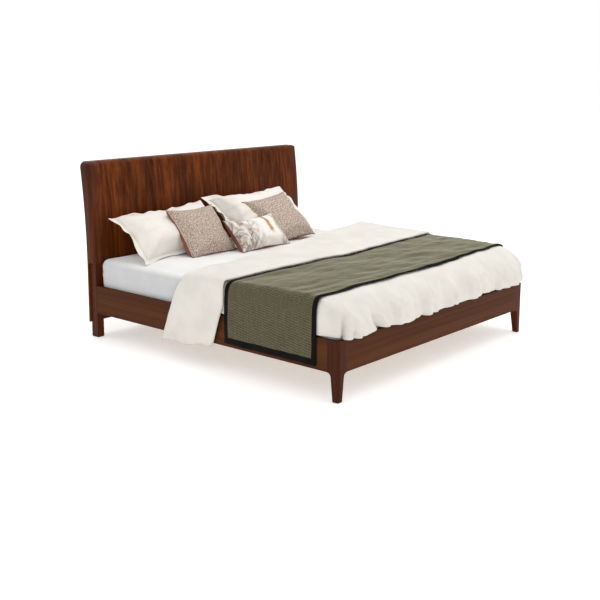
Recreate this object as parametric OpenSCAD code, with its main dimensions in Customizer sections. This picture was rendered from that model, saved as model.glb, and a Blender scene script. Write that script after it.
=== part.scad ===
// King-size panel bed with a headboard that curves gently backwards, dressed with bedding.
// Millimetres, +Z up, +Y towards the head, floor at Z = 0, origin under the middle of the whole bed.

/* [Mattress] */
// Width of the mattress
mattress_w = 1930; // [1400:10:2400]
// Length of the mattress
mattress_l = 2030; // [1650:10:2450]
// Height of the mattress
mattress_h = 248; // [180:5:320]
// Radius of the mattress's upright corners
mattress_corner_r = 70; // [30:5:120]
// Thickness of the fitted sheet
sheet_t = 2; // [1:0.5:4]
// Length of the fitted sheet's skirt below the top of the mattress
sheet_drop = 225; // [150:5:240]

/* [Rails] */
// Gap between the mattress and each side rail
side_gap = 4.5; // [2.5:0.5:15]
// Gap between the mattress and the foot rail, and the headboard
end_gap = 4; // [2.5:0.5:15]
// Thickness of the rails
rail_t = 28; // [22:1:40]
// Height of the rails
rail_h = 185; // [150:1:240]
// Clear height below the rails
rail_bottom = 165; // [120:5:260]
// Radius along the rails' long edges
rail_edge_r = 4; // [1:0.5:8]
// How far the mattress's underside lies below the top of the rails
mattress_sink = 40; // [20:5:70]

/* [Legs] */
// Width of the foot legs where the rails meet them
leg_block = 78; // [60:2:100]
// Width of the foot legs just below the rails
leg_neck = 52; // [40:2:56]
// Width of the foot legs at the floor
leg_foot = 38; // [28:2:40]
// Radius of the foot legs' outer upright corner
leg_corner_r = 16; // [6:1:24]
// Width of the head posts
post_w = 50; // [40:2:80]
// Height of the top of the head posts
post_top = 500; // [440:5:560]
// Thickness of the glides under the legs
glide_t = 3; // [2:0.5:6]
// How far the glides stay inside the legs' edges
glide_inset = 4; // [2:1:8]

/* [Headboard] */
// Height of the top of the headboard
headboard_h = 1165; // [1000:5:1400]
// Thickness of the boards
board_t = 60; // [50:1:80]
// Thickness of the back panel
back_t = 12; // [6:1:18]
// How far the headboard stands out beyond the posts on each side
headboard_over = 12; // [4:1:30]
// Width of each end stile
stile_w = 85; // [70:1:120]
// Joint between neighbouring boards
board_joint = 0.8; // [0.4:0.1:3]
// How far the top of the curve leans back
lean = 46; // [20:2:90]
// Radius of the rounded front edges
front_r = 32; // [10:1:40]
// Radius of the top corners seen from the front
corner_r = 42; // [20:1:80]
// Height of the back panel's lower edge
back_bottom = 100; // [60:5:150]

/* [Slatted base] */
// Number of slats on each side
slat_count = 12; // [8:1:16]
// Width of a slat
slat_w = 75; // [50:5:100]
// Thickness of a slat
slat_t = 18; // [12:1:25]
// Width and height of the ledgers under the slats
ledger = 30; // [22:1:40]
// Width of the centre beam
beam_w = 60; // [50:2:90]
// Height of the centre beam
beam_h = 70; // [50:5:100]
// Number of legs under the centre beam
beam_leg_count = 2; // [1:1:3]
// Width of the centre legs
beam_leg_w = 45; // [36:1:48]
// Height of the screw-in levelling feet
foot_h = 24; // [16:1:40]
// Working clearance between slats, ledgers and their neighbours
deck_gap = 2; // [1:0.5:5]

/* [Fittings] */
// Flange width of the corner brackets
bracket_w = 46; // [40:1:48]
// Space left above and below the corner brackets
bracket_margin = 6; // [3:1:10]
// Distance from a bracket's ends to its holes
bracket_hole_in = 18; // [12:1:20]
// Thickness of the corner brackets
bracket_t = 3; // [2:0.5:4]
// Diameter of the bracket bolts
bolt_d = 8; // [6:1:10]
// How deep the bracket bolts reach into the wood
bolt_l = 22; // [16:1:24]
// Diameter of the wood screws
screw_d = 4; // [3:0.5:5]
// How deep the bracket screws reach into the wood
screw_l = 18; // [12:1:20]
// Diameter of the dowels
dowel_d = 10; // [8:1:12]
// Number of screws in each ledger
ledger_screw_count = 6; // [4:1:10]
// Distance from a ledger's ends to its first screws
ledger_screw_in = 100; // [60:5:200]
// Length of the dowels
dowel_l = 60; // [40:2:80]
// Gap around bolts, screws and dowels in their holes
hole_gap = 0.2; // [0.1:0.05:0.5]

/* [Bedding] */
// Thickness of the duvet on the mattress
duvet_t = 40; // [25:5:70]
// Thickness of the duvet where it is turned back over itself
fold_t = 22; // [12:2:40]
// How far the duvet bulges out over the foot rail
duvet_foot_out = 30; // [15:5:60]
// How far the duvet hangs below the top of the foot rail
duvet_foot_drop = 20; // [5:5:60]
// Distance from the headboard to the middle of the duvet's head edge
duvet_short = 780; // [770:2:1000]
// How much further the duvet reaches towards the head on the right than on the left
duvet_skew = 280; // [0:10:300]
// Height of the hanging fold's hem above the floor
fold_hem = 142; // [120:2:160]
// How far the hanging fold slants towards the head at its hem
fold_slant = 170; // [0:10:250]
// Distance from the foot end to the runner
runner_in = 115; // [60:5:300]
// Width of the runner
runner_w = 680; // [400:10:700]
// Thickness of the runner
runner_t = 5; // [3:0.5:8]
// Height of the runner's hem above the floor
runner_hem = 185; // [170:5:300]
// Width of a pillow with its flange
pillow_w = 850; // [700:10:900]
// Gap between the two pillows
pillow_gap = 12; // [4:1:60]
// Where the middle of the pair of pillows lies across the bed
pillow_x = -69; // [-150:1:150]
// Width of a square cushion
cushion_w = 430; // [350:10:500]
// Distance between the middles of the square cushions
cushion_apart = 770; // [520:10:900]
// Where the middle of the pair of cushions lies across the bed
cushion_x = -85; // [-150:1:150]
// Width of the lumbar cushion
lumbar_w = 500; // [400:10:560]
// Air left between neighbouring soft pieces
soft_gap = 1.5; // [0.5:0.5:4]

/* [Hidden] */

wood = [0.36, 0.18, 0.10];
inner_wood = [0.80, 0.68, 0.50];
steel = [0.62, 0.63, 0.65];
$fn = 48;
arc_fn = 720;
eps = 0.01;
board_count = 4;
head_rise = 0.55;
back_screw_up = 40;

// Overall places, worked out from the mattress
bed_w = mattress_w + 2 * (side_gap + rail_t);
bed_l = rail_t + end_gap + mattress_l + end_gap;
half_w = bed_w / 2;
head_w = bed_w + 2 * headboard_over;
rail_top = rail_bottom + rail_h;
head_d = board_t + back_t;
curve_h = headboard_h - post_top;
curve_r = (curve_h * curve_h + lean * lean) / (2 * lean);
back_reach = curve_r - sqrt(pow(curve_r - head_d, 2) - curve_h * curve_h);
foot_y = duvet_foot_out - (duvet_foot_out + bed_l + back_reach) / 2;
head_y = foot_y + bed_l;
// Where the heads of the board screws meet the back panel, which leans back from here up
back_screw_y = head_y + curve_r
    - sqrt(pow(curve_r - head_d, 2) - pow(back_screw_up + screw_d, 2));
rail_in_x = half_w - rail_t;
rail_in_y = foot_y + rail_t;

// Slatted base
deck_z = rail_top - mattress_sink;
ledger_top = deck_z - slat_t;
slat_from = foot_y + leg_block + 5 * deck_gap;
slat_step = (head_y - deck_gap - slat_w - slat_from) / (slat_count - 1);
slat_l = rail_in_x - 2 * deck_gap;
beam_from = rail_in_y + bracket_t + deck_gap;
beam_to = head_y - bracket_t - deck_gap;
beam_bottom = ledger_top - beam_h;
beam_leg_step = (beam_to - beam_from) / (beam_leg_count + 1);
hanger_h = 42;
hanger_l = 40;
hanger_flange = 26;
hanger_gap = 0.5;
stud_l = 25;

// Corner brackets
bracket_z = rail_bottom + bracket_margin;
bracket_h = ledger_top - ledger - bracket_margin - bracket_z;
bracket_holes = [bracket_hole_in, bracket_h - bracket_hole_in];
post_in_x = half_w - post_w;
leg_in_x = half_w - leg_block;
leg_in_y = foot_y + leg_block;

// Bedding
bed_top = deck_z + mattress_h + sheet_t;
duvet_top = bed_top + soft_gap + duvet_t;
fold_top = duvet_top + fold_t;
drape_in = half_w + soft_gap;
drape_out = drape_in + fold_t + 4;
duvet_to = head_y - duvet_short;
runner_from = foot_y + runner_in;
fold_from = runner_from + runner_w + soft_gap;

module mirrored(side) {
    if (side > 0) children();
    else mirror([1, 0, 0]) children();
}

// An outline in the Y-Z plane, extruded along X from x0 to x1
module along_x(x0, x1) {
    translate([x0, 0, 0]) rotate([90, 0, 90]) linear_extrude(x1 - x0) children();
}

// An outline in the X-Z plane, extruded along Y from y0 to y1
module along_y(y0, y1) {
    translate([0, y1, 0]) rotate([90, 0, 0]) linear_extrude(y1 - y0) children();
}

module block(lo, hi) {
    translate(lo) cube(hi - lo);
}

module round_rect(lo, hi, r) {
    translate([lo[0] + r, lo[1]]) square([hi[0] - lo[0] - 2 * r, hi[1] - lo[1]]);
    translate([lo[0], lo[1] + r]) square([hi[0] - lo[0], hi[1] - lo[1] - 2 * r]);
    for (x = [lo[0] + r, hi[0] - r], y = [lo[1] + r, hi[1] - r])
        translate([x, y]) circle(r);
}

// A countersunk screw along +Z with its head's top at the origin
module screw(l, d) {
    mirror([0, 0, 1]) {
        cylinder(h = head_rise * d, d1 = d * 2, d2 = d);
        cylinder(h = l, d = d);
    }
}

// A hexagon-head bolt along +Z with the underside of its head at the origin
module bolt(l, d) {
    mirror([0, 0, 1]) cylinder(h = l, d = d);
    cylinder(h = d * 0.65, d = d * 1.9, $fn = 6);
}

module hole(l, d) {
    translate([0, 0, -l]) cylinder(h = l + 1, d = d + 2 * hole_gap);
}

// ---- Legs and posts ----

// Outline of a foot leg seen from one side, outer face at 0
module leg_outline() {
    flare = leg_block - leg_neck;
    polygon([[0, glide_t], [leg_foot, glide_t], [leg_neck, rail_bottom - flare],
             [leg_neck, rail_top], [0, rail_top]]);
    difference() {
        translate([leg_neck - eps, rail_bottom - flare]) square([flare + eps, flare]);
        translate([leg_block, rail_bottom - flare]) circle(flare);
    }
    translate([0, rail_bottom]) square([leg_block, rail_h]);
}

module foot_leg(side) {
    color(wood) mirrored(side) difference() {
        intersection() {
            translate([half_w, 0, 0]) mirror([1, 0, 0]) along_y(foot_y, leg_in_y) leg_outline();
            translate([0, foot_y, 0]) along_x(leg_in_x, half_w) leg_outline();
            linear_extrude(rail_top) {
                translate([leg_in_x, foot_y + leg_corner_r])
                    square([leg_block, leg_block - leg_corner_r]);
                translate([leg_in_x, foot_y]) square([leg_block - leg_corner_r, leg_block]);
                translate([half_w - leg_corner_r, foot_y + leg_corner_r]) circle(leg_corner_r);
            }
        }
        // Rebate that lets the mattress's corner pass
        block([leg_in_x - 1, rail_in_y, deck_z - slat_t], [rail_in_x, leg_in_y + 1, rail_top + 1]);
        foot_bracket_places(side) hole(bolt_l, bolt_d);
    }
}

module head_post(side) {
    color(wood) mirrored(side) difference() {
        block([post_in_x, head_y, glide_t], [half_w, head_y + board_t, post_top]);
        stile_dowel_places() cylinder(h = dowel_l + 2, d = dowel_d + 2 * hole_gap, center = true);
        back_screw_post_places() hole(board_t / 2, screw_d);
    }
}

module leg_glides() {
    color([0.15, 0.14, 0.13]) for (side = [-1, 1]) mirrored(side) {
        block([half_w - leg_foot + glide_inset, foot_y + glide_inset, 0],
              [half_w - leg_corner_r / 2, foot_y + leg_foot - glide_inset, glide_t]);
        block([post_in_x + glide_inset, head_y + glide_inset, 0],
              [half_w - glide_inset, head_y + board_t - glide_inset, glide_t]);
    }
}

// ---- Rails ----

module side_rail(side) {
    color(wood) mirrored(side) difference() {
        along_y(leg_in_y, head_y)
            round_rect([rail_in_x, rail_bottom], [half_w, rail_top], rail_edge_r);
        rail_screw_places() hole(screw_l, screw_d);
        ledger_screw_places() hole(rail_t * 0.6 + ledger, screw_d);
    }
}

module foot_rail() {
    color(wood) difference() {
        along_x(-leg_in_x, leg_in_x)
            round_rect([foot_y, rail_bottom], [rail_in_y, rail_top], rail_edge_r);
        for (side = [-1, 1]) mirrored(side) toe_screw_places() hole(screw_l, screw_d);
        hanger_places(1) hole(screw_l, screw_d);
    }
}

module headboard_lower_rail() {
    color(wood) difference() {
        block([-post_in_x, head_y, rail_bottom], [post_in_x, head_y + rail_t, post_top]);
        board_dowel_places() cylinder(h = dowel_l + 2, d = dowel_d + 2 * hole_gap, center = true);
        for (side = [-1, 1]) mirrored(side) head_bracket_places() hole(bolt_l, bolt_d);
        hanger_places(-1) hole(screw_l, screw_d);
    }
}

// ---- Headboard ----

// The leaning profile between two depths behind the front face, from the height z0 up
module lean_profile(d0, d1, z0, over = 0) {
    if (z0 < post_top) translate([head_y + d0, z0]) square([d1 - d0, post_top - z0]);
    intersection() {
        translate([head_y + curve_r, post_top]) difference() {
            circle(curve_r - d0, $fn = arc_fn);
            circle(curve_r - d1, $fn = arc_fn);
        }
        translate([head_y - 1, post_top]) square([lean + head_d * 2, curve_h + over]);
    }
}

// What the rounding takes off the top front edge
module top_round() {
    cz = headboard_h - front_r;
    cy = head_y + curve_r - sqrt(pow(curve_r - front_r, 2) - pow(cz - post_top, 2));
    turn = asin((cz - post_top) / (curve_r - front_r));
    reach = 2 * front_r;
    difference() {
        polygon([[cy, cz], [cy - reach * cos(turn), cz + reach * sin(turn)],
                 [cy - reach, headboard_h + reach], [cy, headboard_h + reach]]);
        translate([cy, cz]) circle(front_r);
    }
}

module board_profile(over = 0) {
    difference() {
        lean_profile(0, board_t, post_top, over);
        top_round();
    }
}

board_w = (head_w - 2 * stile_w - (board_count + 1) * board_joint) / board_count;
board_from = -head_w / 2 + stile_w + board_joint;

module headboard_board(i) {
    x0 = board_from + (i - 1) * (board_w + board_joint);
    color(wood) if (i <= board_count) difference() {
        along_x(x0, x0 + board_w) board_profile();
        board_dowel_places() cylinder(h = dowel_l + 2, d = dowel_d + 2 * hole_gap, center = true);
        back_screw_board_places() hole(screw_l, screw_d);
    }
}

// Plan of a stile with its rounded outer front edge: depth behind the front face, then width
module stile_plan() {
    w0 = head_w / 2 - stile_w;
    w1 = head_w / 2;
    difference() {
        translate([0, w0]) square([board_t, stile_w]);
        difference() {
            translate([-1, w1 - front_r]) square([front_r + 1, front_r + 1]);
            translate([front_r, w1 - front_r]) circle(front_r);
        }
    }
}

module headboard_stile(side) {
    spare_turn = 0.5;
    turn = asin(curve_h / (curve_r - board_t)) + spare_turn;
    color(wood) mirrored(side) difference() {
        intersection() {
            translate([0, head_y + curve_r, post_top])
                rotate([0, 90, 0]) rotate([0, 0, 270 - turn])
                rotate_extrude(angle = turn + spare_turn, $fn = arc_fn)
                translate([curve_r, 0]) mirror([1, 0]) stile_plan();
            along_x(head_w / 2 - stile_w, head_w / 2) board_profile(front_r);
            along_y(head_y - 1, head_y + lean + 2 * head_d) stile_front();
        }
        stile_dowel_places() cylinder(h = dowel_l + 2, d = dowel_d + 2 * hole_gap, center = true);
    }
}

// Front outline of a stile with its rounded top corner
module stile_front() {
    w0 = head_w / 2 - stile_w;
    w1 = head_w / 2;
    translate([w0 - 1, post_top]) square([stile_w + 1, headboard_h - post_top - corner_r]);
    translate([w0 - 1, headboard_h - corner_r - 1]) square([stile_w + 1 - corner_r, corner_r + 1]);
    translate([w1 - corner_r, headboard_h - corner_r]) circle(corner_r);
}

// Front outline of the whole headboard with its rounded top corners
module head_front() {
    z0 = back_bottom - 1;
    w = head_w / 2;
    translate([-w, z0]) square([head_w, headboard_h - corner_r - z0]);
    translate([corner_r - w, z0]) square([head_w - 2 * corner_r, headboard_h - z0]);
    for (side = [-1, 1]) translate([side * (w - corner_r), headboard_h - corner_r]) circle(corner_r);
}

module headboard_back_panel() {
    color(wood * 0.8) difference() {
        intersection() {
            along_x(-head_w / 2 - 1, head_w / 2 + 1)
                lean_profile(board_t, head_d, back_bottom, front_r);
            along_y(head_y, head_y + lean + 2 * head_d) head_front();
        }
        for (side = [-1, 1]) mirrored(side) back_screw_post_places() hole(back_t + 5, screw_d);
        back_screw_board_places() hole(back_t + 5, screw_d);
    }
}

// ---- Slatted base ----

module ledger_strip(side) {
    color(inner_wood) mirrored(side) difference() {
        block([rail_in_x - ledger, leg_in_y + deck_gap, ledger_top - ledger],
              [rail_in_x, head_y - deck_gap, ledger_top]);
        ledger_screw_places() hole(ledger + 1, screw_d);
        slat_outer_places() hole(slat_t + screw_l, screw_d);
    }
}

module centre_beam() {
    color(inner_wood) difference() {
        block([-beam_w / 2, beam_from, beam_bottom], [beam_w / 2, beam_to, ledger_top]);
        for (side = [-1, 1]) mirrored(side) slat_inner_places() hole(slat_t + screw_l, screw_d);
    }
}

// U-shaped steel hanger that carries one end of the beam
module beam_hanger(y_wall, dir) {
    x0 = beam_w / 2 + hanger_gap;
    x1 = x0 + bracket_t;
    z0 = beam_bottom - hanger_gap - bracket_t;
    y1 = y_wall + dir * bracket_t;
    y2 = y_wall + dir * hanger_l;
    lo = min(y_wall, y1);
    color(steel) difference() {
        union() {
            for (side = [-1, 1]) mirrored(side) {
                block([x0, min(y_wall, y2), z0], [x1, max(y_wall, y2), z0 + hanger_h]);
                block([x0, lo, z0], [x1 + hanger_flange, lo + bracket_t, z0 + hanger_h]);
            }
            block([-x1, min(y_wall, y2), z0], [x1, max(y_wall, y2), z0 + bracket_t]);
        }
        hanger_places(dir) bracket_hole(screw_d);
    }
}

module beam_legs() {
    color(inner_wood) for (i = [1 : beam_leg_count])
        translate([0, beam_from + i * beam_leg_step, 0]) difference() {
            block([-beam_leg_w / 2, -beam_leg_w / 2, foot_h],
                  [beam_leg_w / 2, beam_leg_w / 2, beam_bottom]);
            translate([0, 0, foot_h - eps]) cylinder(h = stud_l + 5, d = bolt_d + 2 * hole_gap);
        }
}

module levelling_feet() {
    color([0.1, 0.1, 0.1]) for (i = [1 : beam_leg_count])
        translate([0, beam_from + i * beam_leg_step, 0]) {
            cylinder(h = foot_h * 0.4, d = beam_leg_w * 0.8);
            cylinder(h = foot_h + stud_l, d = bolt_d);
        }
}

module slats(side) {
    color(inner_wood) mirrored(side) difference() {
        for (i = [0 : slat_count - 1])
            block([deck_gap, slat_from + i * slat_step, ledger_top],
                  [deck_gap + slat_l, slat_from + i * slat_step + slat_w, deck_z]);
        slat_outer_places() hole(slat_t + 1, screw_d);
        slat_outer_places() screw_head();
        slat_inner_places() hole(slat_t + 1, screw_d);
        slat_inner_places() screw_head();
    }
}

// Countersink for a screw's head
module screw_head() {
    g = 2 * hole_gap;
    mirror([0, 0, 1]) cylinder(h = head_rise * screw_d, d1 = screw_d * 2 + g, d2 = screw_d + g);
}

// ---- Places of the fittings; each child points along +Z out of the wood ----

module slat_outer_places() {
    for (i = [0 : slat_count - 1])
        translate([rail_in_x - ledger / 2 - deck_gap, slat_from + i * slat_step + slat_w / 2, deck_z])
            children();
}

module slat_inner_places() {
    for (i = [0 : slat_count - 1])
        translate([beam_w / 4, slat_from + i * slat_step + slat_w / 2, deck_z]) children();
}

module ledger_screw_places() {
    step = (head_y - leg_in_y - 2 * ledger_screw_in) / (ledger_screw_count - 1);
    for (i = [0 : ledger_screw_count - 1])
        translate([rail_in_x - ledger, leg_in_y + ledger_screw_in + i * step,
                   ledger_top - 0.7 * ledger])
            rotate([0, -90, 0]) children();
}

// Side flanges of the head and foot brackets, on the side rail's inner face
module rail_screw_places() {
    for (z = bracket_holes, y = [head_y - bracket_w * 0.6, leg_in_y + bracket_w * 0.6])
        translate([rail_in_x, y, bracket_z + z]) rotate([0, -90, 0]) children();
}

module head_bracket_places() {
    for (z = bracket_holes)
        translate([post_in_x - (bracket_w - post_w + rail_t) / 2, head_y, bracket_z + z])
            rotate([90, 0, 0]) children();
}

module toe_screw_places() {
    for (z = bracket_holes)
        translate([leg_in_x - bracket_w * 0.6, rail_in_y, bracket_z + z])
            rotate([-90, 0, 0]) children();
}

// Bolts into the foot leg: one bracket on its inner Y face, one on its inner X face
module foot_bracket_places(side) {
    mid = (leg_block - rail_t) / 2;
    translate([rail_in_x - mid, leg_in_y, bracket_z + bracket_holes[1]])
        rotate([-90, 0, 0]) children();
    translate([leg_in_x, rail_in_y + mid, bracket_z + bracket_holes[0]])
        rotate([0, -90, 0]) children();
}

module hanger_places(dir) {
    y = dir > 0 ? rail_in_y : head_y;
    x = beam_w / 2 + bracket_t + hanger_flange / 2;
    z = beam_bottom + hanger_h / 2;
    for (s = [-1, 1]) translate([s * x, y, z]) rotate([dir > 0 ? -90 : 90, 0, 0]) children();
}

module back_screw_post_places() {
    for (z = [150, 300, 450])
        translate([post_in_x + post_w / 2, head_y + head_d, z]) rotate([-90, 0, 0]) children();
}

module back_screw_board_places() {
    for (i = [0 : board_count - 1])
        translate([board_from + (i + 0.5) * (board_w + board_joint), back_screw_y,
                   post_top + back_screw_up]) rotate([-90, 0, 0]) children();
}

module board_dowel_places() {
    for (i = [0 : board_count - 1], f = [0.25, 0.75])
        translate([board_from + i * (board_w + board_joint) + f * board_w, head_y + rail_t / 2,
                   post_top]) children();
}

module stile_dowel_places() {
    translate([post_in_x + post_w / 2, head_y + board_t / 2, post_top]) children();
}

// ---- Fittings ----

// Angle bracket with its corner at the origin, one flange along +X and one along +Y
module angle_bracket() {
    linear_extrude(bracket_h) {
        square([bracket_w, bracket_t]);
        square([bracket_t, bracket_w]);
    }
}

module bracket_head(side) {
    color(steel) mirrored(side) difference() {
        translate([rail_in_x, head_y, bracket_z]) mirror([1, 0, 0]) mirror([0, 1, 0]) angle_bracket();
        head_bracket_places() bracket_hole(bolt_d);
        rail_screw_places() bracket_hole(screw_d);
    }
}

module bracket_foot(side) {
    color(steel) mirrored(side) difference() {
        translate([rail_in_x, leg_in_y, bracket_z]) mirror([1, 0, 0]) angle_bracket();
        foot_bracket_places(side) bracket_hole(bolt_d);
        rail_screw_places() bracket_hole(screw_d);
    }
}

module bracket_toe(side) {
    color(steel) mirrored(side) difference() {
        translate([leg_in_x, rail_in_y, bracket_z]) mirror([1, 0, 0]) angle_bracket();
        foot_bracket_places(side) bracket_hole(bolt_d);
        toe_screw_places() bracket_hole(screw_d);
    }
}

module bracket_hole(d) {
    translate([0, 0, -1]) cylinder(h = bracket_t + 2, d = d + 2 * hole_gap);
}

module bracket_bolts() {
    color(steel) for (side = [-1, 1]) mirrored(side) {
        head_bracket_places() translate([0, 0, bracket_t]) bolt(bolt_l, bolt_d);
        foot_bracket_places(side) translate([0, 0, bracket_t]) bolt(bolt_l, bolt_d);
    }
}

module pan_screw(l, d) {
    mirror([0, 0, 1]) cylinder(h = l, d = d);
    cylinder(h = d * 0.5, d = d * 2);
}

module bracket_screws() {
    color(steel) {
        for (side = [-1, 1]) mirrored(side) {
            rail_screw_places() translate([0, 0, bracket_t]) pan_screw(screw_l, screw_d);
            toe_screw_places() translate([0, 0, bracket_t]) pan_screw(screw_l, screw_d);
        }
        for (dir = [-1, 1]) hanger_places(dir) translate([0, 0, bracket_t]) pan_screw(screw_l, screw_d);
    }
}

module ledger_screws() {
    color(steel) for (side = [-1, 1]) mirrored(side)
        ledger_screw_places() pan_screw(ledger + rail_t * 0.5, screw_d);
}

module slat_screws() {
    color(steel) for (side = [-1, 1]) mirrored(side) {
        slat_outer_places() screw(slat_t + screw_l - 2, screw_d);
        slat_inner_places() screw(slat_t + screw_l - 2, screw_d);
    }
}

module back_panel_screws() {
    color(steel) {
        for (side = [-1, 1]) mirrored(side) back_screw_post_places() pan_screw(back_t + 12, screw_d);
        back_screw_board_places() pan_screw(back_t + 5, screw_d);
    }
}

module dowels() {
    color(inner_wood) {
        board_dowel_places() cylinder(h = dowel_l, d = dowel_d, center = true);
        for (side = [-1, 1]) mirrored(side)
            stile_dowel_places() cylinder(h = dowel_l, d = dowel_d, center = true);
    }
}

// ---- Bedding ----

module mattress_plan(grow) {
    w = mattress_w / 2 - 2 + grow;
    y0 = rail_in_y + end_gap + 2 - grow;
    y1 = head_y - end_gap - 2 + grow;
    round_rect([-w, y0], [w, y1], mattress_corner_r + grow);
}

module mattress() {
    color("white") translate([0, 0, deck_z]) linear_extrude(mattress_h) mattress_plan(0);
}

module fitted_sheet() {
    color([0.93, 0.94, 0.96]) difference() {
        translate([0, 0, bed_top - sheet_drop]) linear_extrude(sheet_drop) mattress_plan(sheet_t);
        translate([0, 0, bed_top - sheet_drop - 1]) linear_extrude(sheet_drop - sheet_t + 1)
            mattress_plan(0);
    }
}

// Side outline of the turned-back part that hangs beside the rail
module fold_outline(side) {
    y1 = duvet_to + side * duvet_skew / 2;
    polygon([[fold_from, fold_top], [y1, fold_top], [y1, duvet_top],
             [y1 + fold_slant, fold_hem], [fold_from + fold_slant, fold_hem],
             [fold_from, duvet_top]]);
}

// Plan of the duvet from y0 to its skewed head edge at y1, out to w on each side
module duvet_plan(y0, y1, w) {
    turn = duvet_skew / 2 * w / drape_out;
    polygon([[-w, y0], [w, y0], [w, y1 + turn], [-w, y1 - turn]]);
}

module duvet() {
    w = half_w - soft_gap;
    color([0.95, 0.93, 0.88]) {
        difference() {
            union() {
                translate([0, 0, rail_top + soft_gap]) linear_extrude(duvet_top - rail_top - soft_gap)
                    duvet_plan(foot_y - duvet_foot_out, duvet_to - fold_t / 2, w);
                block([-w, foot_y - duvet_foot_out, rail_top - duvet_foot_drop],
                      [w, foot_y - soft_gap, rail_top + soft_gap + 1]);
            }
            translate([0, 0, rail_top - 50]) linear_extrude(bed_top + soft_gap - rail_top + 50)
                mattress_plan(sheet_t + soft_gap);
            block([-w - 1, foot_y - soft_gap, 0], [w + 1, head_y, rail_top + soft_gap]);
        }
        translate([0, 0, duvet_top - eps]) linear_extrude(fold_t + eps)
            duvet_plan(fold_from, duvet_to, drape_out);
        for (side = [-1, 1]) mirrored(side) along_x(drape_in, drape_out) fold_outline(side);
    }
}

module bed_runner() {
    y0 = runner_from;
    y1 = y0 + runner_w;
    z1 = duvet_top + soft_gap;
    color([0.40, 0.41, 0.30]) {
        block([-drape_in - runner_t, y0, z1], [drape_in + runner_t, y1, z1 + runner_t]);
        for (side = [-1, 1]) mirrored(side)
            block([drape_in, y0, runner_hem], [drape_in + runner_t, y1, z1 + 1]);
    }
}

// A soft piece leaning towards the headboard: the distances of its outline's points from the
// headboard's front face, and their heights above the bed
module leaning(x_mid, w, outline) {
    along_x(x_mid - w / 2, x_mid + w / 2)
        polygon([for (p = outline) [head_y - p[0], bed_top + soft_gap + p[1]]]);
}

pillow_outline = [[420, 0], [180, 0], [12, 255], [18, 292], [75, 305], [300, 180], [400, 60]];
cushion_outline = [[600, 0], [470, 0], [280, 290], [325, 315], [480, 215]];
lumbar_outline = [[745, 0], [622, 0], [512, 190], [550, 212], [676, 130]];

module pillow(side) {
    x_mid = pillow_x + side * (pillow_w + pillow_gap) / 2;
    color([0.95, 0.93, 0.88]) leaning(x_mid, pillow_w, pillow_outline);
}

module cushion(side) {
    x_mid = cushion_x + side * cushion_apart / 2;
    color([0.66, 0.58, 0.50]) leaning(x_mid, cushion_w, cushion_outline);
}

module lumbar_cushion() {
    color([0.85, 0.83, 0.80]) leaning(cushion_x, lumbar_w, lumbar_outline);
}

foot_leg(-1);  // foot_leg_left
foot_leg(1);  // foot_leg_right
head_post(-1);  // head_post_left
head_post(1);  // head_post_right
side_rail(-1);  // side_rail_left
side_rail(1);  // side_rail_right
foot_rail();
headboard_lower_rail();
headboard_board(1);  // headboard_board_1
headboard_board(2);  // headboard_board_2
headboard_board(3);  // headboard_board_3
headboard_board(4);  // headboard_board_4
headboard_stile(-1);  // headboard_stile_left
headboard_stile(1);  // headboard_stile_right
headboard_back_panel();
ledger_strip(-1);  // ledger_left
ledger_strip(1);  // ledger_right
centre_beam();
beam_hanger(rail_in_y, 1);  // beam_hanger_foot
beam_hanger(head_y, -1);  // beam_hanger_head
beam_legs();
levelling_feet();
slats(-1);  // slats_left
slats(1);  // slats_right
leg_glides();
bracket_head(-1);  // bracket_head_left
bracket_head(1);  // bracket_head_right
bracket_foot(-1);  // bracket_foot_left
bracket_foot(1);  // bracket_foot_right
bracket_toe(-1);  // bracket_toe_left
bracket_toe(1);  // bracket_toe_right
bracket_bolts();
bracket_screws();
ledger_screws();
slat_screws();
back_panel_screws();
dowels();
mattress();
fitted_sheet();
duvet();
bed_runner();
pillow(-1);  // pillow_left
pillow(1);  // pillow_right
cushion(-1);  // cushion_left
cushion(1);  // cushion_right
lumbar_cushion();
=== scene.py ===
import math

import bpy
import numpy as np
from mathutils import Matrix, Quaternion, Vector


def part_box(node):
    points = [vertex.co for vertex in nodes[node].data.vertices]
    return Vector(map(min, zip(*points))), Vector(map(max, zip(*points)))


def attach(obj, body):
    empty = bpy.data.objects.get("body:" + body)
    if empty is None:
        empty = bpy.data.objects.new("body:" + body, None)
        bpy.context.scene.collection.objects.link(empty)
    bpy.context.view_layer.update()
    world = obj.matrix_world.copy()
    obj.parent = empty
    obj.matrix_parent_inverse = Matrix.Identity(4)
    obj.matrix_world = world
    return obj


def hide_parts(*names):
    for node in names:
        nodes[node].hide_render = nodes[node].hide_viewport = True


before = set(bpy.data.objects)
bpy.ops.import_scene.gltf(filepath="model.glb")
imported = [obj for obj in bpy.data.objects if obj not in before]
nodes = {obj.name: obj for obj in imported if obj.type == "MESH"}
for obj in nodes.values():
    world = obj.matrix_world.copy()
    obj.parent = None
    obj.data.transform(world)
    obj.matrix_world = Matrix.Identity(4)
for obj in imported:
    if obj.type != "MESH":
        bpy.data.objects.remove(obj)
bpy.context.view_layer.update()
scene = bpy.context.scene
scene.view_settings.view_transform = "Standard"

# ---------------------------------------------------------------- places taken from the CAD
rail_lo, rail_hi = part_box("side_rail_left")
half_w = -rail_lo.x
rail_top = rail_hi.z
foot_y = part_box("foot_rail")[0].y
head_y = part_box("head_post_left")[0].y
sheet_lo, sheet_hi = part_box("fitted_sheet")
bed_top = sheet_hi.z
run_lo, run_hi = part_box("bed_runner")
runner_rise = 0.0065                # from the duvet's flat top to the runner's
duvet_top = run_hi.z - runner_rise
fold_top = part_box("duvet")[1].z

board_count = 4                     # boards between the headboard's two stiles

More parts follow.
